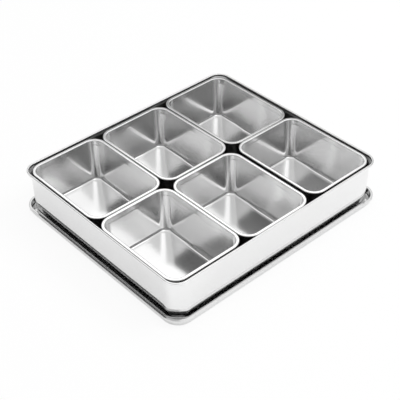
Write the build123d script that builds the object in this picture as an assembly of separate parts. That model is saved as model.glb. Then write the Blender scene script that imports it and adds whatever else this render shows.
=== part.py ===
from build123d import *
import os

# Bar garnish tray: a shallow open tray holds six lift-out pans, three along its length and two
# across. Its lid lies upside down under it and cups the foot of the tray. All of it is pressed
# stainless sheet.
# Frame: origin at the middle of the lid's underside, +X along the side with three pans,
# +Y along the side with two pans, +Z up. Millimetres.

# Pans, all alike
pan_sheet = 0.7            # sheet thickness
pan_opening_length = 77.9  # mouth along X
pan_opening_width = 103.5  # mouth along Y
pan_opening_corner = 11.5  # corner radius of the mouth
pan_height = 48.1          # from the underside of the floor to the top of the rim
pan_flange = 3.25          # flat rim beyond the mouth
pan_lip = 1.6              # height of the rim's turned-down edge
pan_mouth_ease = 0.7       # the rim slopes down into the mouth by this, on the sheet's middle
pan_band = 5.0             # upright band under the rim
pan_step = 0.6             # the wall steps in by this under the band
pan_step_drop = 0.9        # height of that step
pan_lean = 2.0             # each wall leans in by this from the step to the floor
pan_floor_bend = 3.9       # bend from wall to floor, on the sheet's middle
pans_long = 3              # pans along X
pans_across = 2            # pans along Y

# Outer tray
tray_sheet = 0.75          # sheet thickness
tray_wall_corner = 17.0    # corner radius of the wall's outer face
tray_lean = 0.4            # each wall leans in by this from its top to its foot
tray_foot_bend = 2.4       # bend from wall to floor, on the sheet's middle
tray_upright = 2.0         # upright run at the top of the wall, under the flare
tray_flare = 0.75          # the wall flares out by this to the rim
tray_flare_height = 1.6    # height of the flare
tray_mouth_corner = 12.4   # corner radius of the mouth inside the rim
tray_rim = 2.2             # thickness of the rim, a hem folded outwards
tray_rim_height = 2.3      # height of the rim
tray_rim_stand = 0.3       # the tray's rim stands this much above the pans' rims
play_length = 7.05         # free room along X inside the rim, shared out among the pans
play_width = 5.4           # free room along Y inside the rim, shared out among the pans

# Lid, upside down
lid_sheet = 0.6            # sheet thickness
lid_clearance = 0.4        # play along the sides between the lid's skirt and the tray's rim
lid_corner = 15.6          # corner radius of the skirt's inner face
lid_skirt = 8.0            # overall height
lid_bend = 1.4             # bend from panel to skirt, on the sheet's middle
lid_rim = 2.6              # thickness of the rim, a hem folded outwards
lid_rim_height = 3.0       # height of the rim

fold_share = 0.3           # easing of a hem's fold, as a share of the hem's thickness
run_share = 0.6            # how far a wall's section runs in over the floor, as a share of the
                           # corner's radius there

# Where the pans lie within their free room, as shares of it: a row for each place along X, with
# the front pan first. A share of 0 touches the low side of the rim and 1 the high side.
play_length_shares = ((0.04, 0.21), (0.09, 0.33), (0.60, 0.46))
play_width_shares = ((0.32, 0.46), (0.05, 0.29), (0.42, 0.52))
pan_turns = ((0, 0), (0, 0.4), (0, 0))  # degrees by which a loose pan is turned
names_long = ("left", "middle", "right")
names_across = ("front", "back")

# Sizes that follow
pan_rim_length = pan_opening_length + 2 * pan_flange
pan_rim_width = pan_opening_width + 2 * pan_flange
tray_mouth_length = pans_long * pan_rim_length + play_length
tray_mouth_width = pans_across * pan_rim_width + play_width
tray_wall_length = tray_mouth_length - 2 * tray_flare + 2 * tray_sheet
tray_wall_width = tray_mouth_width - 2 * tray_flare + 2 * tray_sheet
tray_rim_length = tray_mouth_length + 2 * tray_rim
tray_rim_width = tray_mouth_width + 2 * tray_rim
tray_base = lid_sheet
pan_base = tray_base + tray_sheet
tray_top = pan_base + pan_height + tray_rim_stand
tray_rim_low = tray_top - tray_rim_height
tray_wall_top = tray_rim_low - tray_flare_height
lid_inner_length = tray_rim_length + 2 * lid_clearance
lid_inner_width = tray_rim_width + 2 * lid_clearance


def rounded_block(length, width, corner, low, high):
    """Upright block with rounded corners between two heights."""
    return Pos(0, 0, low) * extrude(RectangleRounded(length, width, corner), high - low)


def sheet_section(points, bends, sheet):
    """Section of a bent sheet from its middle line and the radius of each bend."""
    return trace(FilletPolyline(*points, radius=bends), sheet)


def drawn_round(section, length, width, corner):
    """Carry a section round a rounded rectangle: straight along its sides, turned at its corners.

    The section's x is the distance outside the rectangle and its y is the height.
    """
    straight_x = length - 2 * corner
    straight_y = width - 2 * corner
    upright = Plane.XZ * section
    turned = revolve(Plane.XZ * (Pos(corner, 0) * section), Axis.Z, 90)
    pieces = []
    for turn, run, out in ((0, straight_y, length), (90, straight_x, width)):
        side = Pos(out / 2, 0, 0) * extrude(upright, run / 2, both=True)
        pieces += [Rot(0, 0, turn) * side, Rot(0, 0, turn + 180) * side]
    for turn, sign_x, sign_y in ((0, 1, 1), (90, -1, 1), (180, -1, -1), (270, 1, -1)):
        centre = Pos(sign_x * straight_x / 2, sign_y * straight_y / 2, 0)
        pieces.append(centre * Rot(0, 0, turn) * turned)
    return pieces


def joined(pieces):
    """One solid from pieces that meet face to face."""
    return pieces[0].fuse(*pieces[1:]).clean()


def hem_section(thickness, height, top):
    """Section of a hem, its fold at the top eased on both edges."""
    block = Pos(thickness / 2, top - height / 2) * Rectangle(thickness, height)
    return chamfer(block.vertices().group_by(Axis.Y)[-1], fold_share * thickness)


def floor_panel(length, width, corner, inset, low, sheet):
    """Flat floor inside the walls' sections, which reach inwards by the inset."""
    return rounded_block(
        length - 2 * inset, width - 2 * inset, corner - inset, low, low + sheet
    )


def make_pan():
    """One pan at the origin: flat rim with a turned edge, banded and leaning walls, round foot."""
    half = pan_sheet / 2
    rim_y = pan_height - half
    band_y = pan_height - pan_band
    step_y = band_y - pan_step_drop
    foot_x = half - pan_step - pan_lean
    inset = pan_floor_bend - foot_x + run_share * (pan_opening_corner + foot_x - pan_floor_bend)
    points = [
        (pan_flange - half, pan_height - pan_lip),
        (pan_flange - half, rim_y),
        (half + pan_mouth_ease, rim_y),
        (half, rim_y - pan_mouth_ease),
        (half, band_y),
        (half - pan_step, step_y),
        (foot_x, half),
        (-inset, half),
    ]
    bends = [0, 0, 0, 0, 0, pan_floor_bend]
    section = sheet_section(points, bends, pan_sheet)
    size = (pan_opening_length, pan_opening_width, pan_opening_corner)
    floor = floor_panel(*size, inset, 0, pan_sheet)
    return joined(drawn_round(section, *size) + [floor])


def pan_place(i, j):
    """Where a pan stands, worked out from its rim and its share of the free room."""
    share_x = play_length_shares[i][j]
    share_y = play_width_shares[i][j]
    x = (i + 0.5) * pan_rim_length + share_x * play_length - tray_mouth_length / 2
    y = (j + 0.5) * pan_rim_width + share_y * play_width - tray_mouth_width / 2
    return Pos(x, y, pan_base) * Rot(0, 0, pan_turns[i][j])


def make_tray():
    """Outer tray: leaning walls with a round foot, a flare at the top and a hemmed rim."""
    half = tray_sheet / 2
    foot_x = -half - tray_lean
    inset = tray_foot_bend - foot_x
    inset += run_share * (tray_wall_corner + foot_x - tray_foot_bend)
    points = [
        (-half, tray_wall_top),
        (-half, tray_wall_top - tray_upright),
        (foot_x, tray_base + half),
        (-inset, tray_base + half),
    ]
    section = sheet_section(points, [0, tray_foot_bend], tray_sheet)
    size = (tray_wall_length, tray_wall_width, tray_wall_corner)
    walls = drawn_round(section, *size)
    floor = floor_panel(*size, inset, tray_base, tray_sheet)
    rim = drawn_round(
        hem_section(tray_rim, tray_rim_height, tray_top),
        tray_mouth_length,
        tray_mouth_width,
        tray_mouth_corner,
    )
    return joined(walls + [floor, make_flare()] + rim)


def make_flare():
    """The tray's flare: from the wall's wide corners out to the rim's tighter ones."""
    skins = []
    for out in (tray_sheet, 0):
        low = RectangleRounded(
            tray_wall_length + 2 * (out - tray_sheet),
            tray_wall_width + 2 * (out - tray_sheet),
            tray_wall_corner + out - tray_sheet,
        )
        high = RectangleRounded(
            tray_mouth_length + 2 * out, tray_mouth_width + 2 * out, tray_mouth_corner + out
        )
        skins.append(
            loft([Pos(0, 0, tray_wall_top) * low, Pos(0, 0, tray_rim_low) * high], ruled=True)
        )
    return skins[0] - skins[1]


def make_lid():
    """Lid, upside down: flat panel below, skirt standing up, its rim folded outwards."""
    half = lid_sheet / 2
    inset = lid_bend - half + run_share * (lid_corner + half - lid_bend)
    points = [(-inset, half), (half, half), (half, lid_skirt - lid_rim_height)]
    section = sheet_section(points, [lid_bend], lid_sheet)
    section += hem_section(lid_rim, lid_rim_height, lid_skirt)
    size = (lid_inner_length, lid_inner_width, lid_corner)
    panel = floor_panel(*size, inset, 0, lid_sheet)
    return joined(drawn_round(section, *size) + [panel])


def make_nodes():
    """Every piece where it lies, by name."""
    nodes = {"lid": make_lid(), "outer_tray": make_tray()}
    pan = make_pan()
    for i in range(pans_long):
        for j in range(pans_across):
            name = f"pan_{names_across[j]}_{names_long[i]}"
            nodes[name] = pan_place(i, j) * pan
    return nodes


os.makedirs("parts", exist_ok=True)
for node_name, solid in make_nodes().items():
    export_step(solid, f"parts/{node_name}.step")
    print(node_name, round(solid.volume), "mm3")
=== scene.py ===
# %% [markdown]
# # A bar garnish tray in pressed steel
# The tray, its six pans and the lid under it are all thin stainless sheet. Sheet shows its quality
# in its reflections, so each piece is rebuilt here as one smooth skin with true bends, and the
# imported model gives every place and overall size. Sheet sizes are written in millimetres, and
# what Blender gets is in metres.

import math

import bpy
import numpy as np
from mathutils import Euler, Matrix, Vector


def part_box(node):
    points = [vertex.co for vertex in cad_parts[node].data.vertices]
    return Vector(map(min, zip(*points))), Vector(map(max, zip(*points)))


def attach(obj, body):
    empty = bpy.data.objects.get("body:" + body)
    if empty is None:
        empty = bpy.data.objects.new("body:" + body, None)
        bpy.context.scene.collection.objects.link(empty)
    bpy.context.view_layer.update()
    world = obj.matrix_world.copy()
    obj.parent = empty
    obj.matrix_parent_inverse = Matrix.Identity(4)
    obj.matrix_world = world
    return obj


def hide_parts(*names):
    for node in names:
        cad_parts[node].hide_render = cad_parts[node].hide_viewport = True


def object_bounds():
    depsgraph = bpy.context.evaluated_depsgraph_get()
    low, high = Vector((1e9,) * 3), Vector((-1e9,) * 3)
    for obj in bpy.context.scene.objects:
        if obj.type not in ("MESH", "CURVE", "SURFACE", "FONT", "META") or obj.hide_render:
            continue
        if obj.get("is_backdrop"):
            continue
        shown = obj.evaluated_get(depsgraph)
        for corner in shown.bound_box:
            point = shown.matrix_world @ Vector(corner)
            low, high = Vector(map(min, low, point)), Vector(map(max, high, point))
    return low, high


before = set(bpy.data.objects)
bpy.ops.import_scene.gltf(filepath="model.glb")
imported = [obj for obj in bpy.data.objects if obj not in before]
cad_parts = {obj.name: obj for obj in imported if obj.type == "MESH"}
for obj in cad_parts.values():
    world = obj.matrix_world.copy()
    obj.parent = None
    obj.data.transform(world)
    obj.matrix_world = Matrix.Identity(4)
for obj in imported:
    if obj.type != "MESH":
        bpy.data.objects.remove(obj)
solid_box = [list(corner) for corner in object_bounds()]
mm = 0.001
print("nodes:", sorted(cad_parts))

# %% [markdown]
# ## Camera
# The picture was taken from above one corner with a long lens, so parallel rims hardly close up.
# The place and the turn below come from matching the straight rims of the pans.

# %% Camera
camera_place = (-497.7, -564.9, 611.4)  # from the middle of the lid's underside
camera_turn = (51.136, 0.908, -42.022)  # degrees about x, y and z
sensor_width, lens_length = 36, 86.76


def make_camera():
    """A long lens above the front left corner, looking down by about forty degrees."""
    data = bpy.data.cameras.new("camera")
    data.sensor_width = sensor_width
    data.lens = lens_length
    camera = bpy.data.objects.new("camera", data)
    camera.location = Vector(camera_place) * mm
    camera.rotation_euler = Euler(math.radians(a) for a in camera_turn)
    bpy.context.scene.collection.objects.link(camera)
    bpy.context.scene.camera = camera
    return camera


camera = make_camera()
print("camera stands", round(camera.location.length, 3), "m from the origin")

# %% [markdown]
# ## Node graphs in one line each
# Every finish below is a small graph of shader nodes. A helper that adds a node, sets its inputs
# and returns it keeps each graph readable: a number goes into the socket, and another node's
# output is linked to it.

# %% Helpers for node graphs
def node(tree, kind, inputs=(), **settings):
    """Add a node, set its properties, then fill its inputs with values or links."""
    made = tree.nodes.new(kind)
    for name, value in settings.items():
        setattr(made, name, value)
    for key, value in dict(inputs).items():
        if isinstance(value, bpy.types.NodeSocket):
            tree.links.new(value, made.inputs[key])
        else:
            made.inputs[key].default_value = value
    return made


def ramp(tree, value, low, high, from_low=0.0, from_high=1.0, smooth=True):
    """Map a value from one range to another, clamped at both ends."""
    kind = "SMOOTHSTEP" if smooth else "LINEAR"
    mapped = node(
        tree,
        "ShaderNodeMapRange",
        {0: value, 1: from_low, 2: from_high, 3: low, 4: high},
        interpolation_type=kind,
    )
    return mapped.outputs[0]


def arithmetic(tree, kind, a, b=0.0):
    """One step of arithmetic on two values."""
    return node(tree, "ShaderNodeMath", {0: a, 1: b}, operation=kind).outputs[0]


print("helpers: node, ramp, arithmetic")

# %% [markdown]
# ## Studio
# Bright metal only looks like metal when it has light and dark to mirror. A box of steel sends a
# ray back out after two or three turns, at nearly the height at which it came in, so what counts
# is the part of the studio that is as high as the camera. The studio is white at the table's
# edge, has a dark band above that, and over the band a wide soft ceiling that is brighter in
# front. A small dark patch at the back left draws the dark wedges in the pans' walls, and a
# bright patch at the back right lights the flat rims. At the back the band is grey, so that the
# outside of a lifted pan still reads as metal. All this is a function of the direction alone, so
# the world can hold it, and no panels have to be placed or hidden.

# %% Where the studio is light and dark
# A way is a direction, and a span says how far along it a change begins and ends, from -1 to 1.
front_way, front_span = (0.34, -0.94, 0.0), (0.26, 0.54)
ceiling_level, ceiling_gain = 0.88, 0.62     # the gain is added in front
dark_patch_way, dark_patch_span = (-0.41, 0.60, 0.68), (0.95, 0.995)
dark_patch_left = 0.15                       # share of the ceiling left in the dark patch
bright_patch_way, bright_patch_span = (0.37, 0.52, 0.77), (0.84, 0.95)
bright_patch_gain = 0.45
band_front, band_back, band_span = 0.0, 0.28, (-0.10, 0.40)
band_top = (0.555, 0.61)                     # heights between which the band ends
front_drop, front_drop_span = 0.06, (0.45, 0.85)
left_way, left_drop, left_drop_span = (-0.75, 0.66, 0.0), 0.05, (0.50, 0.72)
edge_top = (0.18, 0.44)                      # heights between which the white edge ends
print("ceiling from", ceiling_level, "to", ceiling_level + ceiling_gain)

# %% Studio walls and ceiling
def make_studio():
    """World brightness from the direction: white edge, dark band, then a ceiling.

    The height is the upright part of the direction. The ceiling is its level plus a gain towards
    the front, times what the dark patch leaves, plus the bright patch. The band's upper edge is
    found on the height plus two drops, so it comes lower in front and at the back left.
    """
    world = bpy.data.worlds.new("studio")
    bpy.context.scene.world = world
    world.use_nodes = True
    tree = world.node_tree
    tree.nodes.clear()
    where = node(tree, "ShaderNodeTexCoord").outputs["Generated"]

    def toward(way):
        """How far the direction points along a given one, from -1 to 1."""
        aim = Vector(way).normalized()
        dot = node(tree, "ShaderNodeVectorMath", {0: where, 1: aim}, operation="DOT_PRODUCT")
        return dot.outputs["Value"]

    height, forward = toward((0, 0, 1)), toward(front_way)
    glow = ramp(tree, forward, 0.0, ceiling_gain, *front_span)
    glow = arithmetic(tree, "ADD", glow, ceiling_level)
    kept = ramp(tree, toward(dark_patch_way), 1.0, dark_patch_left, *dark_patch_span)
    glow = arithmetic(tree, "MULTIPLY", glow, kept)
    patch = ramp(tree, toward(bright_patch_way), 0.0, bright_patch_gain, *bright_patch_span)
    glow = arithmetic(tree, "ADD", glow, patch)

    drop = ramp(tree, forward, 0.0, front_drop, *front_drop_span)
    further = ramp(tree, toward(left_way), 0.0, left_drop, *left_drop_span)
    drop = arithmetic(tree, "ADD", drop, further)
    over = ramp(tree, arithmetic(tree, "ADD", height, drop), 0.0, 1.0, *band_top)
    band = ramp(tree, toward((0, -1, 0)), band_back, band_front, *band_span)
    glow = node(tree, "ShaderNodeMix", {0: over, 2: band, 3: glow}).outputs[0]
    edge = ramp(tree, height, 1.0, 0.0, *edge_top)
    glow = node(tree, "ShaderNodeMix", {0: edge, 2: glow, 3: 1.0}).outputs[0]
    sky = node(tree, "ShaderNodeBackground", {"Color": glow, "Strength": 1.0})
    node(tree, "ShaderNodeOutputWorld", {"Surface": sky.outputs[0]})
    return world


print("studio made:", make_studio().name)

# %% [markdown]
# ## Floor and lamp
# The floor shows itself as nearly plain white, so the object stands on a clean page, with a small
# part of its real lighting mixed in, which keeps the tray's soft shadow. In steel it is mirrored
# with less of the plain white, so the walls stay a little darker than the page. One soft lamp to
# the right lights the floor and casts the shadow. Steel doesn't mirror the lamp, because all that
# steel mirrors is already drawn in the studio.

# %% Floor
floor_reach = 4.0                      # metres from the middle to a side
floor_gap = 0.05                       # the floor lies this far under the lid
floor_grey = 0.93
plain_seen, plain_mirrored = 0.90, 0.38  # the plain white's share


def make_floor():
    """Large pale square: plain white and lit paint, mixed by what kind of ray meets it."""
    mesh = bpy.data.meshes.new("floor")
    corners = np.array([(-1, -1), (1, -1), (1, 1), (-1, 1)]) * floor_reach
    points = np.column_stack([corners, np.full(4, -floor_gap * mm)])
    mesh.from_pydata(points.tolist(), [], [(0, 1, 2, 3)])
    floor = bpy.data.objects.new("floor", mesh)
    bpy.context.scene.collection.objects.link(floor)
    paint = bpy.data.materials.new("pale_floor")
    paint.use_nodes = True
    tree = paint.node_tree
    tree.nodes.clear()
    lit = node(tree, "ShaderNodeBsdfDiffuse", {"Color": (floor_grey,) * 3 + (1,)})
    plain = node(tree, "ShaderNodeEmission", {"Color": (1, 1, 1, 1), "Strength": 1.0})
    path = node(tree, "ShaderNodeLightPath").outputs
    share = arithmetic(tree, "MULTIPLY", path["Is Glossy Ray"], plain_mirrored)
    for kind in ("Is Camera Ray", "Is Transmission Ray"):
        seen = arithmetic(tree, "MULTIPLY", path[kind], plain_seen)
        share = arithmetic(tree, "MAXIMUM", share, seen)
    mix = node(tree, "ShaderNodeMixShader", {0: share, 1: lit.outputs[0], 2: plain.outputs[0]})
    node(tree, "ShaderNodeOutputMaterial", {"Surface": mix.outputs[0]})
    mesh.materials.append(paint)
    floor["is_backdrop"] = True
    return floor


print("floor made:", make_floor().name)

# %% Lamp
lamp_place, lamp_size = (1.05, -0.68, 1.45), 0.8  # metres
lamp_watts = 10.0


def make_lamp():
    """Soft square lamp, turned to the origin and left out of reflections."""
    data = bpy.data.lights.new("key_panel", "AREA")
    data.shape = "SQUARE"
    data.size = lamp_size
    data.energy = lamp_watts
    lamp = bpy.data.objects.new("key_panel", data)
    lamp.location = lamp_place
    lamp.rotation_euler = (-Vector(lamp_place)).to_track_quat("-Z", "Y").to_euler()
    lamp.visible_glossy = False
    bpy.context.scene.collection.objects.link(lamp)
    return lamp


print("lamp made:", make_lamp().name)

# %% [markdown]
# ## Sheet that is bent and carried round
# A pressed tray is one sheet: seen in section, a line of even thickness that runs out over the
# floor, turns up the wall and ends in a rim. So a section is drawn first, as a broken line with
# an arc at each bend, and then it is carried round a rounded rectangle. Both steps are done on
# whole arrays, and each gives exact bends, which a box with bevels would not.

# %% Section of a bent sheet
def bent_line(points, bends, arc_steps=6, ease=0.1):
    """Broken line with an arc at each inner corner: points, angles, and bends passed so far.

    For a turn by an angle t and a radius r, the arc starts r * tan(t / 2) before the corner, and
    its points are the start turned about the arc's centre in even steps. A point a little off
    each end of an arc keeps the flats next to it flat.
    """
    points = np.asarray(points, float)
    leg = np.diff(points, axis=0)
    length = np.hypot(*leg.T)
    way = leg / length[:, None]
    angle = np.unwrap(np.arctan2(way[:, 1], way[:, 0]))
    places, angles, passed = [points[0]], [angle[0]], [0]
    for i, radius in enumerate(bends):
        turn = angle[i + 1] - angle[i]
        reach = radius * math.tan(abs(turn) / 2)
        start = points[i + 1] - way[i] * reach
        side = math.copysign(1, turn)
        centre = start + side * radius * np.array([-way[i][1], way[i][0]])
        at = angle[i] + np.linspace(0, turn, arc_steps + 1)
        arc = centre + side * radius * np.column_stack([np.sin(at), -np.cos(at)])
        places += [start - way[i] * ease, *arc, arc[-1] + way[i + 1] * ease]
        angles += [angle[i], *at, angle[i + 1]]
        passed += [i, *(i + np.linspace(0, 1, arc_steps + 1)), i + 1]
    last = [points[-1]], [angle[-1]], [len(bends)]
    return [np.array(a + b) for a, b in zip((places, angles, passed), last)]


def sheet_loop(line, angle, sheet, cap_steps=4):
    """Outline of the sheet: out along its under side, round its end, back along its upper side.

    A side is the middle line moved by half the sheet along its normal; the end is a half circle.
    Also returns, for each point, which point of the middle line it belongs to.
    """
    normal = np.column_stack([-np.sin(angle), np.cos(angle)])
    under, upper = line - normal * sheet / 2, line + normal * sheet / 2
    at = angle[-1] + np.linspace(-math.pi / 2, math.pi / 2, cap_steps + 1)[1:-1]
    cap = line[-1] + sheet / 2 * np.column_stack([np.cos(at), np.sin(at)])
    index = np.arange(len(line))
    owner = np.concatenate([index, np.full(len(cap), index[-1]), index[::-1]])
    return np.concatenate([under, cap, upper[::-1]]), owner


print("one bend makes", len(bent_line([(0, 0), (9, 0), (9, 9)], [4])[0]), "points")

# %% [markdown]
# ## Round a rounded rectangle
# Each point of the section becomes a ring. A ring is a rounded rectangle whose half sides and
# corner radius grow with the point's distance from the path, so walls stay even round corners.
# The flat floor inside the section is the same ring, shrunk towards the middle.

# %% Rings
def ring_pattern(corner_steps=18, side_steps=28):
    """Which corner a ring's point belongs to and the way out from that corner's centre.

    Going round, the way out turns by a quarter at each corner while the corner stays; along a
    side, the way out stays and the point slides from one corner to the next.
    """
    turned = np.linspace(0, 1, corner_steps + 1)[:-1] * math.pi / 2
    slid = np.linspace(1, -1, side_steps + 1)[:-1]
    parts = []
    for quarter, (cx, cy) in enumerate(((1, 1), (-1, 1), (-1, -1), (1, -1))):
        at = quarter * math.pi / 2 + turned
        parts.append(np.column_stack([np.full(len(at), cx), np.full(len(at), cy), at]))
        at = np.full(len(slid), (quarter + 1) * math.pi / 2)
        along_x = cx * slid, np.full(len(slid), cy)
        along_y = np.full(len(slid), cx), cy * slid
        parts.append(np.column_stack([*(along_x if quarter % 2 == 0 else along_y), at]))
    return np.concatenate(parts).T


def carry_round(loop, half_x, half_y, corner, floor_steps=(0.04, 0.3, 0.6, 0.85)):
    """Rings of a section: x is out of the path and y is the height, corner may vary by point.

    A ring's point is its corner's centre, at half side minus radius, plus the radius along the
    way out. Over the floor, the first and the last ring are repeated, shrunk by the floor steps.
    """
    at_x, at_y, angle = ring_pattern()
    out, height = loop.T
    radius = np.broadcast_to(corner, out.shape) + out
    steps = np.array(floor_steps)
    grow = np.concatenate([steps, np.ones(len(out)), steps[::-1]])[:, None]
    out, height, radius = (
        np.pad(values, len(steps), mode="edge")[:, None] for values in (out, height, radius)
    )
    x = ((half_x + out - radius) * at_x + radius * np.cos(angle)) * grow
    y = ((half_y + out - radius) * at_y + radius * np.sin(angle)) * grow
    return np.stack([x, y, np.broadcast_to(height, x.shape)], axis=-1)


print("a ring has", ring_pattern().shape[1], "points")

# %% Skin from rings
def skin(name, rings):
    """Closed mesh: four-sided faces between rings, and a fan of triangles at each end.

    The rings go anticlockwise and run from the under side outwards, so faces point outwards.
    """
    rows, count = rings.shape[:2]
    number = np.arange(rows * count).reshape(rows, count)
    here, there = number[:-1], number[1:]
    quads = np.stack([here, np.roll(here, -1, 1), np.roll(there, -1, 1), there], axis=-1)
    first, last = number[0], number[-1]
    low = np.column_stack([np.full(count, rows * count), np.roll(first, -1), first])
    high = np.column_stack([np.full(count, rows * count + 1), last, np.roll(last, -1)])
    middles = np.array([rings[0].mean(0), rings[-1].mean(0)])
    points = np.concatenate([rings.reshape(-1, 3), middles]) * mm
    mesh = bpy.data.meshes.new(name)
    faces = quads.reshape(-1, 4).tolist() + low.tolist() + high.tolist()
    mesh.from_pydata(points.tolist(), [], faces)
    mesh.polygons.foreach_set("use_smooth", np.ones(len(mesh.polygons), bool))
    mesh.update()
    piece = bpy.data.objects.new(name, mesh)
    bpy.context.scene.collection.objects.link(piece)
    return piece


print("skin ready")

# %% Walls that bow and floors that rise
def bulge(rings, half_x, half_y, walls, floor, low, high, wall_from=0.8, wall_fade=0.1):
    """Let thin walls bow out and the floor rise a little, as pressed sheet does.

    A wall moves out by its bow times (1 - (across / half)^2)^2, fading to nothing at the foot and
    at the rim; the floor rises by its bow times the product of the same two humps. What lies
    beyond a share of the half side, with a short fade, counts as wall.
    """
    x, y, z = np.moveaxis(rings, -1, 0)
    hump_x = np.clip(1 - (x / half_x) ** 2, 0, 1) ** 2
    hump_y = np.clip(1 - (y / half_y) ** 2, 0, 1) ** 2
    rise = np.clip((z - low) / (high - low), 0, 1)
    swell = np.sin(math.pi * rise)
    side_x = np.clip((np.abs(x) / half_x - wall_from) / wall_fade, 0, 1)
    side_y = np.clip((np.abs(y) / half_y - wall_from) / wall_fade, 0, 1)
    x = x + np.sign(x) * swell * walls[0] * hump_y * side_x
    y = y + np.sign(y) * swell * walls[1] * hump_x * side_y
    z = z + floor * hump_x * hump_y * (rise <= 0)
    return np.stack([x, y, z], axis=-1)


print("bulge ready")

# %% [markdown]
# ## From section to finished skin
# Grain runs straight on the flat sheet before it is pressed, and afterwards it climbs two of the
# walls and fans out round the corners. So each point also remembers where it lay on the flat
# sheet, which is the same ring carried out by the length of the section up to it. Two more marks
# tell which face of the sheet a point is on, and how near it is to a folded rim, where use
# polishes the steel.

# %% Press a sheet into a skin
face_apart = 7.0      # the upper face reads its grain this far above the under face's
edge_wear_loss = 0.7  # share of the wear that a rim loses on its turned edge


def press(section, bends, sheet, half, corner, rim_bend, bow=None):
    """Rings of a pressed sheet, their places on the flat sheet, their wear and their face.

    The corner is a radius, or a pair of them with the heights between which one turns into the
    other, as (low, high, at low, at high). Wear is 0 up to the bend where the rim starts, 1 on the
    flat of the rim and less on its turned edge, which counts as an outside face. It sets in
    half-way round the rim's first bend, and the turned edge begins with the last bend.
    """
    line, angle, passed = bent_line(section, bends)
    loop, owner = sheet_loop(line, angle, sheet)
    run = np.concatenate([[0], np.cumsum(np.hypot(*np.diff(line, axis=0).T))])
    flat = np.column_stack([line[0, 0] + run, np.zeros(len(run))])[owner]
    if isinstance(corner, tuple):
        low, high, start, end = corner
        share = np.clip((line[:, 1] - low) / (high - low), 0, 1)
        corner = (start + (end - start) * share * share * (3 - 2 * share))[owner]
    rings = carry_round(loop, *half, corner)
    blank = carry_round(flat, *half, corner)
    above = np.arange(len(rings)) > len(rings) / 2
    blank[..., 2] = np.where(above, face_apart, 0.0)[:, None]

    spare = (len(rings) - len(owner)) // 2
    wear, edge = (
        np.pad(np.clip(share, 0, 1)[owner], (spare, spare))
        for share in (2 * (passed - rim_bend) - 1, 2 * (passed - len(bends) + 1))
    )
    around = np.ones(rings.shape[1])
    wear = (wear * (1 - edge_wear_loss * edge))[:, None] * around
    inside = (above * (1 - edge))[:, None] * around
    if bow:
        rings = bulge(rings, *half, **bow)
    return rings, blank, wear, inside


def place(rings, x, y, z, turn=0.0):
    """Turn rings about the upright axis by an angle in degrees and move them."""
    c, s = math.cos(math.radians(turn)), math.sin(math.radians(turn))
    spin = np.array([[c, s, 0], [-s, c, 0], [0, 0, 1]])
    return rings @ spin + np.array([x, y, z])


print("press and place ready")

# %% Finish a piece
def mark(piece, name, values, middle_values, kind="FLOAT"):
    """Store a value for each point, with the two middle points at the end."""
    values = np.concatenate([values, middle_values]).astype(np.float32)
    attribute = piece.data.attributes.new(name, kind, "POINT")
    attribute.data.foreach_set("vector" if kind == "FLOAT_VECTOR" else "value", values.ravel())


def finish_piece(name, node_name, slot, rings, blank, wear, inside):
    """Skin the rings, store their marks, and let the piece stand for its node."""
    piece = skin(name, rings)
    ends = np.array([blank[0].mean(0), blank[-1].mean(0)]) * mm
    mark(piece, "blank", blank.reshape(-1, 3) * mm, ends, "FLOAT_VECTOR")
    mark(piece, "wear", wear.ravel(), [wear[0, 0], wear[-1, 0]])
    mark(piece, "inside", inside.ravel(), [0.0, 1.0])
    piece.data.materials.append(finish_of[slot])
    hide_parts(node_name)
    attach(piece, node_name)
    size = [round(v / mm, 2) for v in piece.dimensions]
    print(name, len(piece.data.polygons), "faces, box", size)
    return piece


def box_mm(node_name):
    """Middle, half sizes and lowest and highest point of a node, in millimetres."""
    low, high = (np.array(corner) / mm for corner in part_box(node_name))
    return (low + high) / 2, (high - low) / 2, low[2], high[2]


print("the tray's half sizes are", box_mm("outer_tray")[1].round(2))

# %% [markdown]
# ## Brushed steel
# All the steel here is one metal in several finishes. The pans' inside is satin, the outside of
# the tray is nearly a mirror, and the faces that nobody polishes and that lie hidden in the gaps,
# such as the lid's upper face, the pans' outside and the tray's inside, are rougher, and their
# colour is darkened as painted shade, which is why the gaps look black. One graph serves all: a
# neutral pale metal that varies by a few parts in a hundred, a fine grain along the flat sheet
# that acts on the bump and on the roughness, a faint cloud of wiping marks, a few thin scratches,
# and rims that are brighter and smoother where hands touch them.

# %% Marks on the steel
fine_streaks = {"scale": (30, 2400, 1), "offset": 0.0, "detail": 3.0}
broad_streaks = {"scale": (7, 330, 1), "offset": 0.1, "detail": 2.0}
smear_noise = {"Scale": 26.0, "Detail": 4.0, "Distortion": 1.2}
drift_noise = {"Scale": 9.0, "Detail": 2.0}
scratch_sets = ((0.5, 38.0), (1.9, 55.0), (2.7, 47.0))  # turn in radians, cells in a metre
scratch_draw, scratch_width = 0.06, 0.006
scratched_span = (0.5, 0.62)    # wiping marks between which scratches begin to show
tone_drift, drift_span = (0.97, 1.02), (0.35, 0.65)
polished_tone = 0.93
pattern_roughness, scratch_roughness = 0.03, 0.06
rim_smoothness = 0.7            # a worn rim's roughness, as a share of the sheet's
broad_relief, scratch_relief = 0.6, 0.4
grain_bump = {"Strength": 0.05, "Distance": 0.00002}
sway_bump = {"Strength": 0.04, "Distance": 0.0006}
print("sets of scratches:", len(scratch_sets))


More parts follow.
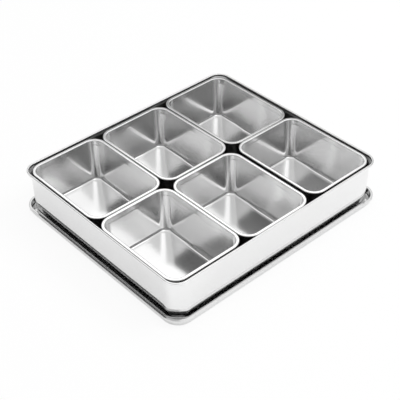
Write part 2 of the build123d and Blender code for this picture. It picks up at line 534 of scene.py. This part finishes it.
# %% Patterns on the steel
def steel_patterns(tree, seed):
    """Fine streaks, broad streaks, wiping marks, slow drift and thin scratches, each a value.

    Streaks are noise drawn out along the flat sheet's length. A scratch is the border between
    long cells, kept only where the wiping marks are strong.
    """
    blank = node(tree, "ShaderNodeAttribute", attribute_name="blank").outputs["Vector"]
    body = node(tree, "ShaderNodeTexCoord").outputs["Object"]

    def noise(where, settings):
        """Noise at a place."""
        return node(tree, "ShaderNodeTexNoise", {"Vector": where, **settings}).outputs[0]

    def streaks(scale, offset, detail):
        """Noise drawn out along the flat sheet."""
        drawn = node(tree, "ShaderNodeMapping", {0: blank, 1: (seed, offset, 0), 3: scale})
        return noise(drawn.outputs[0], {"Scale": 1.0, "Detail": detail})

    shifted = node(tree, "ShaderNodeMapping", {0: body, 1: (seed, seed, 0)}).outputs[0]
    smear = noise(shifted, smear_noise)
    scratch = 0.0
    for turn, scale in scratch_sets:
        laid = {0: blank, 2: (0, 0, turn), 3: (1, scratch_draw, 1)}
        laid = node(tree, "ShaderNodeMapping", laid).outputs[0]
        cells = {"Vector": laid, "Scale": scale}
        cells = node(tree, "ShaderNodeTexVoronoi", cells, feature="DISTANCE_TO_EDGE")
        line = ramp(tree, cells.outputs["Distance"], 1.0, 0.0, 0.0, scratch_width, smooth=False)
        scratch = arithmetic(tree, "MAXIMUM", scratch, line)
    scratched = ramp(tree, smear, 0.0, 1.0, *scratched_span)
    scratch = arithmetic(tree, "MULTIPLY", scratch, scratched)
    drift = noise(shifted, drift_noise)
    return streaks(**fine_streaks), streaks(**broad_streaks), smear, drift, scratch


print("patterns ready")


# %% Steel finish
def make_steel(name, tones_with_painted_shade, roughness, seed, polish=0.8):
    """Brushed stainless steel with grain, wiping marks, scratches and polished rims.

    The tones are how pale the sheet's under and upper faces are, and the darker tone, on the face
    hidden in the gaps, is painted shade. The two roughness values are theirs as well. The polish
    is the rims' share of the brighter steel.
    face's own, plus each pattern less its middle, times an amount, and smaller on worn rims.
    """
    steel = bpy.data.materials.new(name)
    steel.use_nodes = True
    tree = steel.node_tree
    tree.nodes.clear()
    wear = node(tree, "ShaderNodeAttribute", attribute_name="wear").outputs["Fac"]
    upper = node(tree, "ShaderNodeAttribute", attribute_name="inside").outputs["Fac"]
    fine, broad, smear, drift, scratch = steel_patterns(tree, seed)

    # The face's tone: the darker one, on the face hidden in the gaps, is painted shade that makes
    # the gaps look black.
    tone = ramp(tree, upper, *tones_with_painted_shade, smooth=False)
    tone = arithmetic(tree, "MULTIPLY", tone, ramp(tree, drift, *tone_drift, *drift_span))
    polished = arithmetic(tree, "MULTIPLY", wear, polish)
    colour = node(tree, "ShaderNodeMix", {0: polished, 2: tone, 3: polished_tone}).outputs[0]

    rough = ramp(tree, upper, *roughness, smooth=False)
    for part in (fine, broad, smear):
        part = arithmetic(tree, "SUBTRACT", part, 0.5)
        part = arithmetic(tree, "MULTIPLY", part, pattern_roughness)
        rough = arithmetic(tree, "ADD", rough, part)
    cut = arithmetic(tree, "MULTIPLY", scratch, scratch_roughness)
    rough = arithmetic(tree, "ADD", rough, cut)
    smoother = ramp(tree, wear, 1.0, rim_smoothness, smooth=False)
    rough = arithmetic(tree, "MULTIPLY", rough, smoother)

    relief = arithmetic(tree, "ADD", fine, arithmetic(tree, "MULTIPLY", broad, broad_relief))
    cut = arithmetic(tree, "MULTIPLY", scratch, scratch_relief)
    relief = arithmetic(tree, "SUBTRACT", relief, cut)
    relief = node(tree, "ShaderNodeBump", {**grain_bump, "Height": relief}).outputs[0]
    sway = node(tree, "ShaderNodeBump", {**sway_bump, "Height": drift, "Normal": relief})

    surface = {"Base Color": colour, "Metallic": 1.0, "Roughness": rough}
    surface["Normal"] = sway.outputs[0]
    shader = node(tree, "ShaderNodeBsdfPrincipled", surface)
    node(tree, "ShaderNodeOutputMaterial", {"Surface": shader.outputs[0]})
    return steel


# The lid's upper face, the tray's inside and the pans' outside get darker tones: painted shade for
# faces hidden in the gaps.
finish_of = {
    "lid_steel": make_steel("lid_steel", (0.82, 0.58), (0.10, 0.12), seed=0.31, polish=0.0),
    "tray_steel": make_steel("tray_steel", (0.90, 0.45), (0.09, 0.40), seed=0.77),
    "pan_steel": make_steel("pan_steel", (0.52, 0.82), (0.28, 0.15), seed=0.13),
}
print("finishes:", list(finish_of))

# %% [markdown]
# ## Lid
# The lid lies upside down: a flat panel with a short skirt that stands up, and the edge of the
# sheet folded outwards and down again, so that no raw edge meets a hand. Its sizes follow from
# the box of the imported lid, and the open fold leaves a thin dark line below it.

# %% Make the lid
def make_lid():
    """Panel, bend, upright skirt and its rim folded outwards."""
    middle, half, low, high = box_mm("lid")
    sheet, rim, rim_height, corner = 0.6, 2.6, 3.0, 15.6
    floor_run, foot_bend, fold_bend = 10.0, 1.4, 0.32
    skirt = high - low
    section = [
        (-floor_run, sheet / 2),
        (sheet / 2, sheet / 2),
        (sheet / 2, skirt - sheet / 2),
        (rim - sheet / 2, skirt - sheet / 2),
        (rim - sheet / 2, skirt - rim_height + sheet / 2),
    ]
    bends = [foot_bend, fold_bend, fold_bend]
    rings, *marks = press(section, bends, sheet, half[:2] - rim, corner, rim_bend=1)
    rings = place(rings, middle[0], middle[1], low)
    return finish_piece("lid_shell", "lid", "lid_steel", rings, *marks)


make_lid()

# %% [markdown]
# ## Tray
# The outer tray's wall has wide corners, and its rim has tighter ones, so the short flare between
# them changes the corner's radius while it carries the wall outwards. The rim is the sheet rolled
# over to the outside. Long walls pressed from thin sheet bow by a few tenths of a millimetre.

# %% Make the tray
def make_tray():
    """Floor, round foot, leaning wall, flare and the rim folded outwards."""
    middle, half, low, high = box_mm("outer_tray")
    sheet, rim, rim_height = 0.75, 2.2, 2.3
    lean, flare_height = 0.4, 2.0
    wall_corner, mouth_corner = 17.0, 12.4
    floor_run, foot_bend, flare_foot_bend, flare_top_bend = 14.0, 2.4, 1.2, 0.8
    rim_inner_bend, rim_outer_bend = 0.4, 0.6
    wall_bow, bow_foot, bow_head = 0.25, 3.0, 4.5
    top = high - low
    flare_top = top - rim_height
    flare_foot = flare_top - flare_height
    section = [
        (-floor_run, sheet / 2),
        (-sheet / 2 - lean, sheet / 2),
        (-sheet / 2, flare_foot),
        (sheet / 2, flare_top),
        (sheet / 2, top - sheet / 2),
        (rim - sheet / 2, top - sheet / 2),
        (rim - sheet / 2, top - rim_height + sheet / 2),
    ]
    bends = [foot_bend, flare_foot_bend, flare_top_bend, rim_inner_bend, rim_outer_bend]
    corner = (flare_foot, flare_top, wall_corner, mouth_corner)
    bow = {"walls": (wall_bow, wall_bow), "floor": 0.0, "low": bow_foot, "high": top - bow_head}
    rings, *marks = press(section, bends, sheet, half[:2] - rim, corner, rim_bend=2, bow=bow)
    rings = place(rings, middle[0], middle[1], low)
    return finish_piece("tray_shell", "outer_tray", "tray_steel", rings, *marks)


make_tray()

# %% [markdown]
# ## Pans
# The six pans are pressed in one tool and differ only in how they lie and how their thin walls
# have sprung. From the middle outwards: a floor that rises a little in the middle, a round foot,
# a wall that leans out, a faint step up to the band that stiffens the mouth, a flat rim and its
# edge turned down. The wall is not straight in section: it curves gently towards the foot, which
# is what draws the light into a wedge and a bright streak that spread from each far corner. The
# curve is one very wide bend in the wall's middle, whose arc reaches almost to the wall's ends.

# %% Make the pans
def make_pan(node_name, bow_x, bow_y, dome, turn=0.0):
    """One pan, pressed like the others and set down where its node is.

    The wall's middle stands out by its belly, so the wall turns there by about twice the belly
    over half the wall, and an arc of radius r starts about r times the belly over half the wall
    before it. The radius is chosen so that the arc starts a short run after the wall's end.
    """
    middle, _, low, high = box_mm(node_name)
    half = box_mm("pan_front_left")[1]  # this one isn't turned, so its box fits all of them
    sheet, flange, lip, corner = 0.7, 3.25, 1.6, 11.5
    band, band_lean, step, step_drop, lean = 5.0, 0.2, 0.6, 0.9, 2.0
    shoulder_in, belly, straight_run = 0.3, 0.3, 4.5
    floor_run, foot_bend, step_bend = 8.4, 3.9, 4.0
    rim_bend, lip_bend = 0.5, 0.38
    top = high - low
    foot = np.array([sheet / 2 - step - lean, sheet / 2])
    shoulder = np.array([sheet / 2 - shoulder_in, top - band - step_drop])
    half_wall = np.hypot(*(shoulder - foot)) / 2
    wall_bend = (half_wall - straight_run) * half_wall / belly
    section = [
        (-floor_run, sheet / 2),
        foot,
        (foot + shoulder) / 2 + (belly, 0),
        shoulder,
        (sheet / 2 - band_lean, top - band),
        (sheet / 2, top - sheet / 2),
        (flange - sheet / 2, top - sheet / 2),
        (flange - sheet / 2, top - lip + sheet / 2),
    ]
    bends = [foot_bend, wall_bend, step_bend, step_bend, rim_bend, lip_bend]
    bow = {"walls": (bow_x, bow_y), "floor": dome, "low": sheet, "high": top - band - step_drop}
    rings, *marks = press(section, bends, sheet, half[:2] - flange, corner, rim_bend=4, bow=bow)
    rings = place(rings, middle[0], middle[1], low, turn)
    return finish_piece(node_name + "_shell", node_name, "pan_steel", rings, *marks)


pan_bows = {  # how far the two pairs of walls bow and the floor rises
    "pan_front_left": (0.20, 0.00, 0.55),
    "pan_front_middle": (0.30, 0.15, 0.50),
    "pan_front_right": (0.15, 0.05, 0.50),
    "pan_back_left": (0.25, 0.10, 0.45),
    "pan_back_middle": (0.10, 0.20, 0.55),
    "pan_back_right": (0.30, 0.00, 0.50),
}
pan_turns = {"pan_back_middle": 0.4}  # degrees by which a pan lies askew
for pan_name, bows in pan_bows.items():
    make_pan(pan_name, *bows, turn=pan_turns.get(pan_name, 0.0))

# %% [markdown]
# ## Sizes
# The imported model's box and the finished skins' box are both printed, in millimetres. The
# finished skins must keep inside the imported model's box.

# %% Sizes and finish
bpy.context.scene.view_settings.view_transform = "Standard"
dressed_box = [list(corner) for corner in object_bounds()]
for box_name, box in (("solid", solid_box), ("dressed", dressed_box)):
    print(box_name, np.round(np.array(box) / mm, 2))
